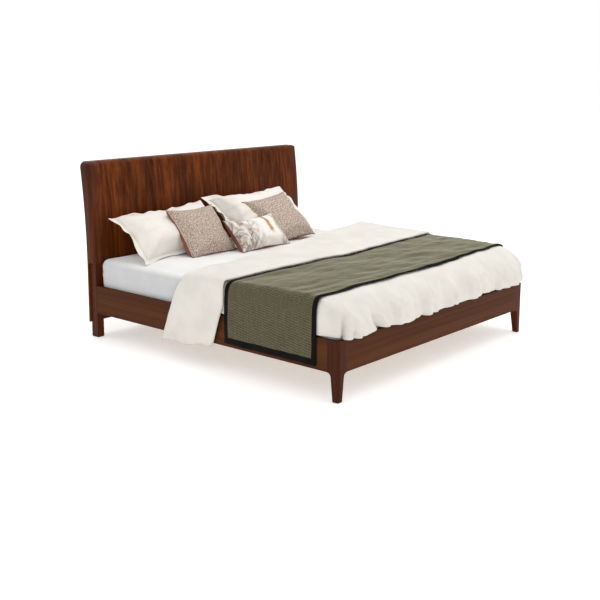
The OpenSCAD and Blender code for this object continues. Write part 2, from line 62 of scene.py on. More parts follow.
# The looks' mattress is higher in its middle than the CAD's flat one, so its edges lie lower.
crown = 0.034                       # how much higher its middle stands than its edges
crown_reach = 0.25                  # how far in from its edges it still rises
pressed = 0.018                     # how far it sinks under the duvet


# ---------------------------------------------------------------- noise, curves and grids of points
def waves(p, size, seed, octaves=2):
    """Smooth noise of about unit height at the points p, with features of about the given size."""
    rng = np.random.default_rng(seed)
    p = np.asarray(p, float)
    total, out, amp = 0.0, np.zeros(len(p)), 1.0
    for _ in range(octaves):
        for _ in range(9):
            d = rng.normal(size=p.shape[1])
            d *= 2 * math.pi / size * rng.uniform(0.6, 1.4) / np.linalg.norm(d)
            out += amp * np.sin(p @ d + rng.uniform(0, 2 * math.pi))
        total += amp * 2.1
        amp *= 0.55
        size *= 0.5
    return out / total


def ramp(x, a, b):
    """From 0 at a to 1 at b, with soft ends."""
    t = np.clip((np.asarray(x, float) - a) / (b - a), 0, 1)
    return t * t * (3 - 2 * t)


def quarter(a, b, n, count):
    """A superellipse quarter from (0, 0), falling by b while it goes out by a."""
    t = np.linspace(0, math.pi / 2, count)
    return a * np.sin(t) ** (2 / n), -b * (1 - np.cos(t) ** (2 / n))


def evenly(line, step):
    """The points of a polyline again, evenly spaced, and the distances along it."""
    line = np.asarray(line, float)
    s = np.concatenate([[0], np.cumsum(np.linalg.norm(np.diff(line, axis=0), axis=1))])
    n = max(3, int(round(s[-1] / step)) + 1)
    t = np.linspace(0, s[-1], n)
    return np.stack([np.interp(t, s, line[:, k]) for k in range(line.shape[1])], 1), t


def normals_of(p):
    """The unit normals of a grid of points."""
    n = np.cross(np.gradient(p, axis=0), np.gradient(p, axis=1))
    return n / np.maximum(np.linalg.norm(n, axis=2, keepdims=True), 1e-9)


# ---------------------------------------------------------------- meshes
def new_object(name, verts, faces, uv, materials, index=None):
    """A smooth mesh with one uv per vertex; index gives each face its material."""
    mesh = bpy.data.meshes.new(name)
    mesh.from_pydata(np.asarray(verts, float).tolist(), [], [list(map(int, f)) for f in faces])
    mesh.update()
    for m in materials:
        mesh.materials.append(m)
    if index is not None:
        mesh.polygons.foreach_set("material_index", np.asarray(index, np.int32))
    mesh.polygons.foreach_set("use_smooth", np.ones(len(mesh.polygons), bool))
    layer = mesh.uv_layers.new(name="UVMap")
    loops = np.zeros(len(mesh.loops), np.int32)
    mesh.loops.foreach_get("vertex_index", loops)
    layer.data.foreach_set("uv", np.asarray(uv, float)[loops].ravel().astype(np.float32))
    obj = bpy.data.objects.new(name, mesh)
    scene.collection.objects.link(obj)
    return obj


def quads(nu, nv, flip=False):
    """The faces of a grid of nu by nv points."""
    i, j = np.meshgrid(np.arange(nu - 1), np.arange(nv - 1), indexing="ij")
    a = i * nv + j
    f = np.stack([a, a + nv, a + nv + 1, a + 1], -1).reshape(-1, 4)
    return f[:, ::-1] if flip else f


def two_layers(nu, nv):
    """For a closed shell of two grids that share their rim: which points of the lower grid are its own,
    the numbers of all its points, and the faces of both grids."""
    inner = np.ones((nu, nv), bool)
    inner[0], inner[-1], inner[:, 0], inner[:, -1] = False, False, False, False
    ids = np.arange(nu * nv).reshape(nu, nv)
    low_ids = ids.copy()
    low_ids[inner] = nu * nv + np.arange(inner.sum())
    return inner, ids, quads(nu, nv), low_ids.ravel()[quads(nu, nv, flip=True)]


def padded_grid(name, p, thick, edge, uv, materials, pick=None):
    """A closed padded layer: p is its outer surface, and its edges are rounded over the width edge."""
    nu, nv = p.shape[:2]
    n = normals_of(p)
    du = np.linalg.norm(np.diff(p, axis=0), axis=2)
    dv = np.linalg.norm(np.diff(p, axis=1), axis=2)
    su = np.concatenate([np.zeros((1, nv)), np.cumsum(du, 0)])
    sv = np.concatenate([np.zeros((nu, 1)), np.cumsum(dv, 1)], 1)
    d = np.minimum(np.minimum(su, su[-1] - su), np.minimum(sv, sv[:, -1:] - sv))
    q = np.sqrt(np.clip(1 - (1 - np.clip(d / edge, 0, 1)) ** 2, 0, 1))[..., None]
    mid = p - n * thick / 2
    top = mid + n * thick / 2 * q
    low = mid - n * thick / 2 * q
    inner, _, f_top, f_low = two_layers(nu, nv)
    verts = np.concatenate([top.reshape(-1, 3), low[inner]])
    faces = np.concatenate([f_top, f_low])
    uvs = np.concatenate([uv.reshape(-1, 2), uv[inner]])
    index = None if pick is None else pick(uvs[faces].mean(1))
    return new_object(name, verts, faces, uvs, materials, index)


def outline(x0, x1, y0, y1, r, n_x=90, n_y=90, n_c=14):
    """Points round a rectangle with rounded corners, from the middle of the foot side, counter-clockwise
    seen from above, with their outward directions."""
    pts, out = [], []

    def side(a, b, n, direction):
        for t in np.linspace(0, 1, n, endpoint=False):
            pts.append((a[0] + (b[0] - a[0]) * t, a[1] + (b[1] - a[1]) * t))
            out.append(direction)

    def turn(cx, cy, start):
        for t in np.linspace(0, math.pi / 2, n_c, endpoint=False):
            c, s = math.cos(start + t), math.sin(start + t)
            pts.append((cx + r * c, cy + r * s))
            out.append((c, s))

    side((0, y0), (x1 - r, y0), n_x // 2, (0, -1))
    turn(x1 - r, y0 + r, -math.pi / 2)
    side((x1, y0 + r), (x1, y1 - r), n_y, (1, 0))
    turn(x1 - r, y1 - r, 0)
    side((x1 - r, y1), (x0 + r, y1), n_x, (0, 1))
    turn(x0 + r, y1 - r, math.pi / 2)
    side((x0, y1 - r), (x0, y0 + r), n_y, (-1, 0))
    turn(x0 + r, y0 + r, math.pi)
    side((x0 + r, y0), (0, y0), n_x // 2, (0, -1))
    return np.array(pts), np.array(out, float)


def ring_faces(rings, count):
    """The faces between closed rings of count points each."""
    k, i = np.meshgrid(np.arange(rings - 1), np.arange(count), indexing="ij")
    a = k * count + i
    b = k * count + (i + 1) % count
    return np.stack([a, a + count, b + count, b], -1).reshape(-1, 4)


# ---------------------------------------------------------------- materials
class Nodes:
    """A material and short ways to add nodes to it."""

    def __init__(self, name):
        self.mat = bpy.data.materials.new(name)
        self.mat.use_nodes = True
        self.tree = self.mat.node_tree
        self.shader = self.tree.nodes["Principled BSDF"]

    def add(self, kind, inputs=None, **props):
        node = self.tree.nodes.new("ShaderNode" + kind)
        for k, v in props.items():
            setattr(node, k, v)
        for k, v in (inputs or {}).items():
            self.put(node, k, v)
        return node

    def put(self, node, key, value):
        socket = node.inputs[key]
        if isinstance(value, bpy.types.NodeSocket):
            self.tree.links.new(value, socket)
        else:
            socket.default_value = value

    def coords(self, space="Object", scale=(1, 1, 1), turn=(0, 0, 0)):
        src = self.add("TexCoord").outputs[space]
        return self.add("Mapping", {"Vector": src, "Scale": scale, "Rotation": turn}).outputs[0]

    def noise(self, vector, scale, detail=4.0, rough=0.55, distortion=0.0):
        return self.add("TexNoise", {"Vector": vector, "Scale": scale, "Detail": detail,
                                     "Roughness": rough, "Distortion": distortion}).outputs["Fac"]

    def colours(self, fac, stops):
        node = self.add("ValToRGB", {"Fac": fac})
        elements = node.color_ramp.elements
        while len(elements) < len(stops):
            elements.new(0.5)
        for e, (at, c) in zip(elements, stops):
            e.position = at
            e.color = (*c, 1)
        return node.outputs["Color"]

    def mask(self, fac, stops):
        """Grey steps between 0 and 1."""
        return self.colours(fac, [(at, (grey, grey, grey)) for at, grey in stops])

    def mix(self, fac, a, b, kind="MIX"):
        node = self.add("Mix", data_type="RGBA", blend_type=kind)
        self.put(node, 0, fac)
        self.put(node, 6, a if isinstance(a, bpy.types.NodeSocket) else (*a, 1))
        self.put(node, 7, b if isinstance(b, bpy.types.NodeSocket) else (*b, 1))
        return node.outputs[2]

    def math(self, op, a, b=0.0):
        return self.add("Math", {0: a, 1: b}, operation=op).outputs[0]

    def times(self, a, b):
        return self.math("MULTIPLY", a, b)

    def bump(self, height, strength, distance):
        node = self.add("Bump", {"Height": height, "Strength": strength, "Distance": distance})
        self.put(self.shader, "Normal", node.outputs[0])

    def finish(self, colour, rough, specular):
        self.put(self.shader, "Base Color", colour)
        self.put(self.shader, "Roughness", rough)
        self.put(self.shader, "Specular IOR Level", specular)
        return self.mat


def srgb(r, g, b):
    """A colour given as it looks on screen, 0 to 255."""
    return tuple(c / 255 / 12.92 if c / 255 <= 0.04045 else ((c / 255 + 0.055) / 1.055) ** 2.4
                 for c in (r, g, b))


def wood(name, dark, mid, light, grain="z", shift=0.0, rough=0.42, streak=1.0, shine=0.06):
    """Wood with its grain along an axis: narrow streaks, broad bands and dark pores."""
    n = Nodes(name)
    across, along = 48.0 * streak, 0.7
    scale = {"z": (across, across, along), "y": (across, along, across), "x": (along, across, across)}[grain]
    fine = {"z": (1.0, 1.0, 0.03), "y": (1.0, 0.03, 1.0), "x": (0.03, 1.0, 1.0)}[grain]
    src = n.add("TexCoord").outputs["Object"]
    c = n.add("Mapping", {"Vector": src, "Location": (shift, shift * 0.7, shift * 1.3)}).outputs[0]
    streaks = n.noise(n.add("Mapping", {"Vector": c, "Scale": scale}).outputs[0], 1.0, 5, 0.6, 0.15)
    broad = n.noise(n.add("Mapping", {"Vector": c, "Scale": tuple(v * 0.16 for v in scale)}).outputs[0],
                    1.0, 2, 0.5, 0.3)
    pores = n.noise(n.add("Mapping", {"Vector": c, "Scale": fine}).outputs[0], 420.0, 2, 0.5)
    f = n.math("ADD", n.times(streaks, 0.62), n.times(broad, 0.38))
    colour = n.colours(f, [(0.37, dark), (0.5, mid), (0.64, light)])
    colour = n.mix(n.times(n.mask(pores, [(0.38, 1), (0.5, 0)]), 0.35), colour, dark)
    n.bump(pores, 0.12, 0.0006)
    return n.finish(colour, rough, shine)


thread_scale = 900.0                # noise this fine stands for single threads


def cloth(name, base, shade, rough=0.9, fleck=0.0, sheen=0.15, shine=0.2):
    """Plain cloth, softly uneven between two colours, with fine threads."""
    n = Nodes(name)
    c = n.coords()
    soft = n.noise(c, 7.0, 3)
    thread = n.noise(c, thread_scale, 2)
    colour = n.mix(n.mask(soft, [(0.35, 0), (0.65, 1)]), shade, base)
    if fleck:
        colour = n.mix(n.times(thread, fleck), colour, shade)
    n.bump(thread, 0.15, 0.0008)
    n.put(n.shader, "Sheen Weight", sheen)
    return n.finish(colour, rough, shine)


head_dark, head_mid, head_light = srgb(54, 21, 4), srgb(84, 38, 10), srgb(116, 58, 20)
rail_dark, rail_mid, rail_light = srgb(64, 32, 13), srgb(75, 40, 17), srgb(87, 49, 23)
walnut = {
    "board": [wood(f"walnut_board_{i}", head_dark, head_mid, head_light, "z", 3.1 * i)
              for i in range(board_count)],
    "stile": wood("walnut_stile", srgb(54, 21, 4), srgb(80, 35, 9), srgb(104, 50, 18), "z", 17.0, 0.38,
                  shine=0.12),
    "leg": wood("walnut_leg", srgb(52, 20, 4), srgb(68, 28, 6), srgb(88, 41, 12), "z", 5.0, 0.36,
                shine=0.08),
    "rail_y": wood("walnut_rail_side", rail_dark, rail_mid, rail_light, "y", 7.0, 0.5, 0.8),
    "rail_x": wood("walnut_rail_foot", rail_dark, rail_mid, rail_light, "x", 9.0, 0.5, 0.8),
    "back": wood("walnut_back", srgb(56, 27, 13), srgb(80, 42, 22), srgb(100, 56, 32), "z", 23.0, 0.55),
}
pine = {a: wood("pine_" + a, srgb(190, 152, 104), srgb(212, 178, 130), srgb(226, 198, 152), a, 2.0, 0.6)
        for a in "xyz"}


def plain(name, base, other, rough, metal=0.0):
    """Metal or plastic, slightly cloudy between two colours."""
    n = Nodes(name)
    f = n.noise(n.coords(), 60.0, 3)
    n.put(n.shader, "Metallic", metal)
    return n.finish(n.mix(f, base, other), rough, 0.5)


steel = plain("zinc_steel", (0.55, 0.56, 0.58), (0.44, 0.45, 0.47), 0.38, 1.0)
plastic = plain("black_plastic", (0.02, 0.02, 0.02), (0.035, 0.035, 0.033), 0.5)
cotton_duvet = cloth("duvet_cotton", srgb(217, 213, 206), srgb(209, 204, 196), fleck=0.15)
cotton_pillow = cloth("pillow_cotton", srgb(227, 222, 215), srgb(219, 213, 205), fleck=0.15)
ticking = cloth("mattress_ticking", srgb(238, 237, 232), srgb(226, 225, 220))
rust = cloth("cushion_back", srgb(142, 78, 46), srgb(118, 62, 36), rough=0.75, fleck=0.3)
border = cloth("runner_border", srgb(24, 23, 22), srgb(17, 16, 16), fleck=0.2, sheen=0.0, shine=0.05)


def sheet_material():
    """Thin white cotton, a little greyer down the sides of the mattress and lighter on its top: painted
    shade, set by height.
    """
    n = Nodes("sheet_cotton")
    c = n.coords()
    high = n.add("SeparateXYZ", {0: c}).outputs[2]
    top = n.add("MapRange", {"Value": high, "From Min": sheet_hi.z - 0.062,
                             "From Max": sheet_hi.z - crown}).outputs[0]
    # painted shade: the sheet is grey low on the sides and lighter up on the top
    painted_shade_tone = n.mix(top, srgb(197, 197, 198), srgb(226, 225, 223))
    soft = n.colours(n.noise(c, 7.0, 3), [(0.35, (0.94, 0.94, 0.945)), (0.65, (1, 1, 1))])
    n.bump(n.noise(c, thread_scale, 2), 0.15, 0.0008)
    n.put(n.shader, "Sheen Weight", 0.1)
    return n.finish(n.mix(1.0, painted_shade_tone, soft, "MULTIPLY"), 0.9, 0.2)


def weave_material():
    """Olive cloth with fine ribs that lie slightly askew."""
    n = Nodes("runner_weave")
    uv = n.coords("UV")
    ribs = n.add("TexWave", {"Vector": n.coords("UV", turn=(0, 0, math.radians(9))), "Scale": 21.0,
                             "Distortion": 3.5, "Detail": 2.0, "Detail Scale": 3.0}).outputs["Fac"]
    slub = n.noise(n.coords("UV", (9.0, 90.0, 1.0)), 1.0, 3)
    fine = n.noise(uv, 380.0, 2)
    f = n.math("ADD", n.times(ribs, 0.45), n.times(slub, 0.55))
    colour = n.colours(f, [(0.25, srgb(70, 65, 49)), (0.5, srgb(86, 81, 62)), (0.78, srgb(106, 101, 80))])
    colour = n.mix(n.times(fine, 0.35), colour, srgb(62, 57, 42))
    n.bump(f, 0.4, 0.0015)
    n.put(n.shader, "Sheen Weight", 0.6)
    n.put(n.shader, "Sheen Roughness", 0.35)
    n.put(n.shader, "Sheen Tint", (0.85, 0.86, 0.66, 1))
    return n.finish(colour, 0.92, 0.1)


def knit_material():
    """Taupe knit with small pale flecks, and brown painted shade in the hollows between its loops."""
    n = Nodes("cushion_knit")
    cells = n.add("TexVoronoi", {"Vector": n.coords("UV", (40.0, 58.0, 1.0)), "Scale": 1.0,
                                 "Randomness": 0.45}, voronoi_dimensions="2D").outputs["Distance"]
    tint = n.noise(n.coords("UV"), 34.0, 2)
    rows = n.add("TexWave", {"Vector": n.coords("UV"), "Scale": 26.0, "Distortion": 1.5,
                             "Detail": 1.0}, bands_direction="Y").outputs["Fac"]
    colour = n.colours(tint, [(0.36, srgb(176, 156, 140)), (0.48, srgb(206, 190, 176)),
                              (0.60, srgb(232, 221, 211))])
    # painted shade: brown in the gaps between the loops, which the bump below makes hollow
    colour = n.mix(n.times(n.mask(cells, [(0.22, 0), (0.55, 1)]), 0.85), colour, srgb(140, 116, 100))
    n.bump(n.math("ADD", n.times(rows, 0.4), n.times(cells, -1.0)), 0.8, 0.004)
    return n.finish(colour, 0.95, 0.1)


def print_material():
    """White cloth with brushed marbling: rust and grey veins, one gold stroke, grey swirls at the right."""
    n = Nodes("lumbar_print")
    src = n.add("TexCoord").outputs["UV"]
    u, v = n.add("SeparateXYZ", {0: src}).outputs[:2]
    bent = n.add("Mapping", {"Vector": src, "Scale": (5.2, 1.7, 1.0)}).outputs[0]
    veins = n.noise(bent, 1.0, 5, 0.55, 1.6)
    line = n.math("ABSOLUTE", n.math("SUBTRACT", veins, 0.5))
    moved = n.add("Mapping", {"Vector": src, "Scale": (6.0, 2.6, 1.0), "Location": (3.3, 1.2, 0)}).outputs[0]
    patch = n.noise(moved, 1.0, 4, 0.55, 1.2)
    left = n.mask(u, [(0.0, 1), (0.26, 0.95), (0.40, 0.5), (0.50, 0)])
    right = n.mask(u, [(0.78, 0), (0.86, 1), (1.0, 0.7)])
    printed = n.math("MAXIMUM", left, right)
    thin = n.mask(line, [(0.0, 1), (0.022, 0.6), (0.05, 0)])
    wide = n.mask(line, [(0.0, 1), (0.08, 0.7), (0.15, 0)])
    brush = n.mask(patch, [(0.46, 0), (0.54, 1)])
    colour = n.mix(n.times(n.times(brush, left), 0.50), srgb(230, 224, 217), srgb(166, 122, 94))
    colour = n.mix(n.times(n.times(wide, printed), 0.32), colour, srgb(128, 120, 114))
    colour = n.mix(n.times(n.times(thin, printed), 0.7), colour, srgb(78, 66, 60))
    wobble = n.times(n.math("SUBTRACT", n.noise(src, 7.0, 3), 0.5), 0.10)
    stroke = n.math("ABSOLUTE", n.math("SUBTRACT", n.math("ADD", u, wobble), 0.665))
    tall = n.mask(v, [(0.30, 0), (0.42, 1), (0.86, 1), (0.95, 0)])
    gold = n.times(n.mask(stroke, [(0.0, 1), (0.024, 0.9), (0.05, 0)]), tall)
    colour = n.mix(gold, colour, srgb(176, 128, 78))
    n.bump(n.noise(src, 240.0, 2), 0.15, 0.001)
    return n.finish(colour, 0.85, 0.2)


weave, knit, marble = weave_material(), knit_material(), print_material()
cotton_sheet = sheet_material()

# ---------------------------------------------------------------- hard parts
# each node's material and the width of its softened edges
look = {}
for i in range(board_count):
    look[f"headboard_board_{i + 1}"] = (walnut["board"][i], 0.0022)
for side in ("left", "right"):
    look["headboard_stile_" + side] = (walnut["stile"], 0.0016)
    look["head_post_" + side] = (walnut["leg"], 0.003)
    look["foot_leg_" + side] = (walnut["leg"], 0.0025)
    look["side_rail_" + side] = (walnut["rail_y"], 0.0015)
    look["ledger_" + side] = (pine["y"], 0.002)
    look["slats_" + side] = (pine["x"], 0.002)
    for place in ("head", "foot", "toe"):
        look[f"bracket_{place}_{side}"] = (steel, 0.0006)
look.update({
    "foot_rail": (walnut["rail_x"], 0.0015), "headboard_lower_rail": (walnut["rail_x"], 0.0015),
    "headboard_back_panel": (walnut["back"], 0.0012), "centre_beam": (pine["y"], 0.002),
    "beam_hanger_foot": (steel, 0.0006), "beam_hanger_head": (steel, 0.0006),
    "beam_legs": (pine["z"], 0.002), "dowels": (pine["z"], 0.0005),
    "levelling_feet": (plastic, 0.001), "leg_glides": (plastic, 0.0005),
})
for name in ("bracket_bolts", "bracket_screws", "ledger_screws", "slat_screws", "back_panel_screws"):
    look[name] = (steel, 0.0)
for name, (material, edge) in look.items():
    o = nodes[name]
    o.data.materials.clear()
    o.data.materials.append(material)
    if edge:
        bevel = o.modifiers.new("edges", "BEVEL")
        bevel.width, bevel.segments = edge, 2
        bevel.limit_method, bevel.angle_limit = "ANGLE", math.radians(38)
        bevel.harden_normals = False


# ---------------------------------------------------------------- mattress and fitted sheet
def boxed(name, x, y0, y1, z0, z1, r_plan, r_top, material, wrinkle, seed):
    """A soft box: rings up its sides, over a rounded top edge and in across the top."""
    ring_step, middle = 0.018, 0.012
    dx, dz = quarter(r_top, r_top, 2.0, 9)
    profile = [(0.0, z) for z in np.arange(z0, z1 - r_top, ring_step)]
    profile += [(r_top - a, z1 + b) for a, b in zip(dx[::-1], dz[::-1])]
    profile += [(d, z1) for d in np.linspace(r_top, x - middle, 46)[1:]]
    verts, uv = [], []
    length = (y1 - y0) / 2
    for d, z in profile:
        dy = d * (length - 0.02) / (x - middle) if d > r_plan else d
        p, n = outline(-x + d, x - d, y0 + dy, y1 - dy, max(r_plan - d, 0.004))
        uv.append(p)
        inside = np.minimum(np.minimum(x - abs(p[:, 0]), p[:, 1] - y0), y1 - p[:, 1])
        lift = crown * ramp(inside, 0.0, crown_reach) - pressed * ramp(-p[:, 1], 0.0, 0.3)
        height = z + lift * (z > z0 + 0.1)
        q = np.concatenate([p, height[:, None]], 1)
        top = ramp(inside, 0.02, 0.12)
        side = 1 - top
        creases = waves(q * [0.55, 0.55, 4.2], 0.30, seed + 1, 3) * wrinkle * 0.9 * side
        creases *= ramp(z, z0, z0 + 0.06)
        bulge = 0.006 * math.sin(math.pi * min(max((z - z0) / (z1 - z0), 0), 1)) * side
        height = height + wrinkle * waves(p, 0.30, seed, 3) * top
        verts.append(np.concatenate([p + n * (creases + bulge)[:, None], height[:, None]], 1))
    count = len(verts[0])
    faces = ring_faces(len(verts), count)[:, ::-1].tolist()
    faces.append(list(range((len(verts) - 1) * count, len(verts) * count))[::-1])
    return new_object(name, np.concatenate(verts), faces, np.concatenate(uv), [material])


mat_lo, mat_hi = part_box("mattress")
inset = 0.002                       # how far the mattress stays inside its CAD sides
under_sheet = 0.009                 # how much lower its edges lie, which leaves room for the creases
mattress = boxed("mattress_soft", mat_hi.x - inset, mat_lo.y + inset, mat_hi.y - inset, mat_lo.z,
                 mat_hi.z - crown - under_sheet, 0.05, 0.040, ticking, 0.0008, 5)
fitted = boxed("fitted_sheet_soft", sheet_hi.x, sheet_lo.y, sheet_hi.y, sheet_lo.z,
               bed_top - crown, 0.052, 0.042, cotton_sheet, 0.0030, 11)
solid = fitted.modifiers.new("thickness", "SOLIDIFY")
solid.thickness, solid.offset = 0.0015, -1

# ---------------------------------------------------------------- duvet
side_out = half_w - 0.0015          # where its sides stand, just inside the rails' outer faces

# pleats in its foot face: place across, half width, depth, slant, and how far up they reach
pleats = (
    (-0.968, 0.020, 0.050, 0.16, 0.98), (-0.900, 0.016, 0.032, 0.25, 0.80),
    (-0.635, 0.020, 0.040, -0.75, 0.80), (-0.22, 0.018, 0.008, -0.2, 0.5),
    (0.10, 0.018, 0.014, -0.35, 0.55), (0.45, 0.016, 0.014, -0.3, 0.6),
    (0.62, 0.018, 0.010, 0.2, 0.6), (0.93, 0.018, 0.010, 0.1, 0.5),
)


def puff_height(x, y):
    """How far the filled cloth stands above or below its mean top: it sinks toward the left side
    and where it runs out at its head edge."""
    p = np.stack([x, y], -1)
    sag = 0.016 * ramp(-x, -0.7, 0.0) + (0.012 + 0.014 * ramp(y, -1.0, -0.2)) * ramp(-x, 0.2, 0.95)
    thin = 0.024 * ramp(head_edge(x) - y, 0.26, 0.0) * ramp(-x, 0.80, 1.0)
    return -sag - thin + 0.0034 * waves(p, 0.46, 21, 2) + 0.0009 * waves(p, 0.15, 22, 2)


def head_edge(x):
    """Where the turned-back head edge of the duvet lies, at each place across the bed."""
    return np.interp(x, [-1.03, -0.75, -0.48, 0.0, 0.5, 1.03], [0.150, 0.105, 0.115, 0.185, 0.27, 0.36])


def hem_rise(u):
    """How high the duvet's foot hem stands above the rail: it hangs in arcs between tucked places."""
    at = np.array([-1.04, -0.905, -0.635, -0.22, 0.10, 0.45, 0.62, 0.93, 1.04])
    high = np.array([0.030, 0.022, 0.026, 0.014, 0.026, 0.038, 0.027, 0.038, 0.040])
    sag = np.array([0.010, 0.018, 0.014, 0.012, 0.018, 0.010, 0.016, 0.006])
    k = np.clip(np.searchsorted(at, u) - 1, 0, len(at) - 2)
    t = np.clip((u - at[k]) / (at[k + 1] - at[k]), 0, 1)
    return np.interp(u, at, high) - sag[k] * (4 * t * (1 - t)) ** 0.6


def duvet_body():
    """The duvet's padded shell: rings from its hem up over its shoulders and in across the top."""
    foot_out = foot_y - 0.026
    head_end = 0.5
    plan_r = 0.075
    side_in, foot_in, head_in = 0.075, 0.215, 0.035
    side_curve, foot_curve = 2 / 4.0, 2 / 2.15
    side_hem, foot_hem = rail_top + 0.016, rail_top + 0.012
    side_rise, foot_rise, head_rise = duvet_top - side_hem, duvet_top - foot_hem, 0.040
    hem_fill = (0.12, 0.35, 0.6, 0.8)

    def ring(d_side, d_foot, d_head, z_side, z_foot, z_head, r, level):
        """One ring: its points, outward directions, heights, how near each is to the foot, and how
        much of the hem's rise it takes."""
        x = side_out - d_side
        y0 = foot_out + d_foot
        p, n = outline(-x, x, y0, head_end, r, 120, 90, 16)
        at_foot = ramp(p[:, 1], y0 + 0.30, y0 + 0.04)
        across = np.clip(abs(p[:, 0]) / x, 0, 1)
        at_head = ramp(n[:, 1], 0.2, 0.9) * (1 - ramp(across, 0.97, 1.0))
        z = z_side * (1 - at_foot) + z_foot * at_foot
        z = z * (1 - at_head) + z_head * at_head
        # the head side is drawn to the slanting edge
        y_end = head_edge(p[:, 0]) - 0.012 - d_head
        y = y0 + (p[:, 1] - y0) / (head_end - y0) * (y_end - y0)
        return np.stack([p[:, 0], y], 1), n, z, at_foot, level

    rings = []
    # the hem that curls under
    for phi in np.linspace(0, math.pi / 2, len(hem_fill) + 1)[:-1]:
        d = 0.020 * (1 - math.sin(phi))
        drop = 0.010 * math.cos(phi)
        rings.append(ring(d, d, 0.0, side_hem - drop, foot_hem - drop, bed_top - 0.004, plan_r - d,
                          1.0 - 0.2 * (1 - math.sin(phi))))
    # the padded sides
    for a in np.linspace(math.pi / 2, 0, 26):
        d_side = side_in * (1 - math.sin(a) ** side_curve)
        d_foot = foot_in * (1 - math.sin(a) ** foot_curve)
        d_head = head_in * (1 - math.sin(a))
        z_side = duvet_top - side_rise * (1 - math.cos(a) ** side_curve)
        z_foot = duvet_top - foot_rise * (1 - math.cos(a) ** foot_curve)
        z_head = duvet_top - head_rise * (1 - math.cos(a))
        rings.append(ring(d_side, d_foot, d_head, z_side, z_foot, z_head,
                          max(plan_r - d_side * 0.55, 0.03), math.sin(a) ** 2))
    # the top
    for s in np.linspace(0, 1, 44)[1:]:
        d_side = side_in + (side_out - side_in - 0.012) * s
        rings.append(ring(d_side, foot_in + 0.42 * s, head_in + 0.42 * s, duvet_top, duvet_top, duvet_top,
                          0.03 * (1 - s) + 0.002, 0.0))

    verts = []
    for q, n, z, at_foot, level in rings:
        u = q[:, 0]
        height = z + puff_height(u, q[:, 1]) * ramp(z, duvet_top - 0.16, duvet_top)
        height += (hem_rise(u) - 0.012) * level * at_foot
        # soft upright folds down the foot face
        folds = 0.0140 * waves(np.stack([u, z * 0.12], 1), 0.26, 31, 2)
        folds += 0.0050 * waves(np.stack([u, z * 0.6], 1), 0.060, 32, 2)
        push = np.maximum(folds, -0.010) * at_foot * ramp(z, duvet_top - 0.02, duvet_top - 0.15)
        fall = np.clip((z - rail_top) / 0.2, 0, 1)
        for at, wide, deep, slant, reach in pleats:
            off = u - at - slant * (z - rail_top)
            fade = ramp(fall, reach, 0.0) * at_foot
            push -= deep * np.exp(-(off / wide) ** 2) * fade
            push += deep * 0.55 * np.exp(-((off - 2.3 * wide) / (1.5 * wide)) ** 2) * fade
        at_side = (1 - at_foot) * ramp(z, duvet_top, duvet_top - 0.1) * (abs(n[:, 0]) > 0.5)
        push += 0.004 * waves(np.stack([q[:, 1], z * 0.2], 1), 0.12, 35, 2) * at_side
        verts.append(np.concatenate([q + n * push[:, None], height[:, None]], 1))
    count = len(verts[0])
    faces = ring_faces(len(verts), count)[:, ::-1].tolist()
    faces.append(list(range((len(verts) - 1) * count, len(verts) * count))[::-1])
    verts = np.concatenate(verts)
    obj = new_object("duvet_soft", verts, faces, verts[:, :2], [cotton_duvet])
    filling = obj.modifiers.new("filling", "SOLIDIFY")
    filling.thickness, filling.offset = 0.022, -1
    # thinner toward the hem
    group = obj.vertex_groups.new(name="fill")
    group.add(list(range(count * len(hem_fill), len(verts))), 1.0, "REPLACE")
    for k, weight in enumerate(hem_fill):
        group.add(list(range(count * k, count * (k + 1))), weight, "REPLACE")
    filling.vertex_group = "fill"
    return obj


duvet = duvet_body()


def across_path(x_out, z_top, z_hem, a, b, n, step):
    """The line of a cloth laid over the bed, from its left hem over the top to its right hem. Its
    shoulders reach a inward and b down."""
    dx, dz = quarter(a, b, n, 40)
    half = [(x_out - a + p, z_top + q) for p, q in zip(dx, dz)]
    half = [(0.0, z_top)] + half + [(x_out, z_hem)]
    right, s = evenly(half, step)
    line = np.concatenate([right[:0:-1] * [-1, 1], right])
    return line, np.concatenate([-s[:0:-1], s])


def runner_edges(x):
    """Where the runner's foot and head edges lie, at the points x across the bed."""
    foot_side = np.interp(x, [-1.00, -0.95, -0.50, 0.0, 0.50, 0.83, 1.0],
                          [-0.925, -0.932, -0.950, -0.953, -0.945, -0.928, -0.925])
    head_side = np.interp(x, [-1.00, -0.95, -0.70, -0.30, 0.0, 0.60, 1.0],
                          [-0.210, -0.222, -0.252, -0.305, -0.325, -0.322, -0.300])
    return foot_side, head_side


def swept(x, y, z):
    """A grid of points from a column x, a grid y and a column z."""
    return np.stack([np.broadcast_to(x, y.shape), y, np.broadcast_to(z, y.shape)], -1).copy()


def hanging_waves(p, size, squeeze, seed):
    """Waves along a hanging cloth, one value for each point of the grid p."""
    places = np.stack([p[..., 1].ravel(), p[..., 2].ravel() * squeeze], 1)
    return waves(places, size, seed, 2).reshape(p.shape[:2])


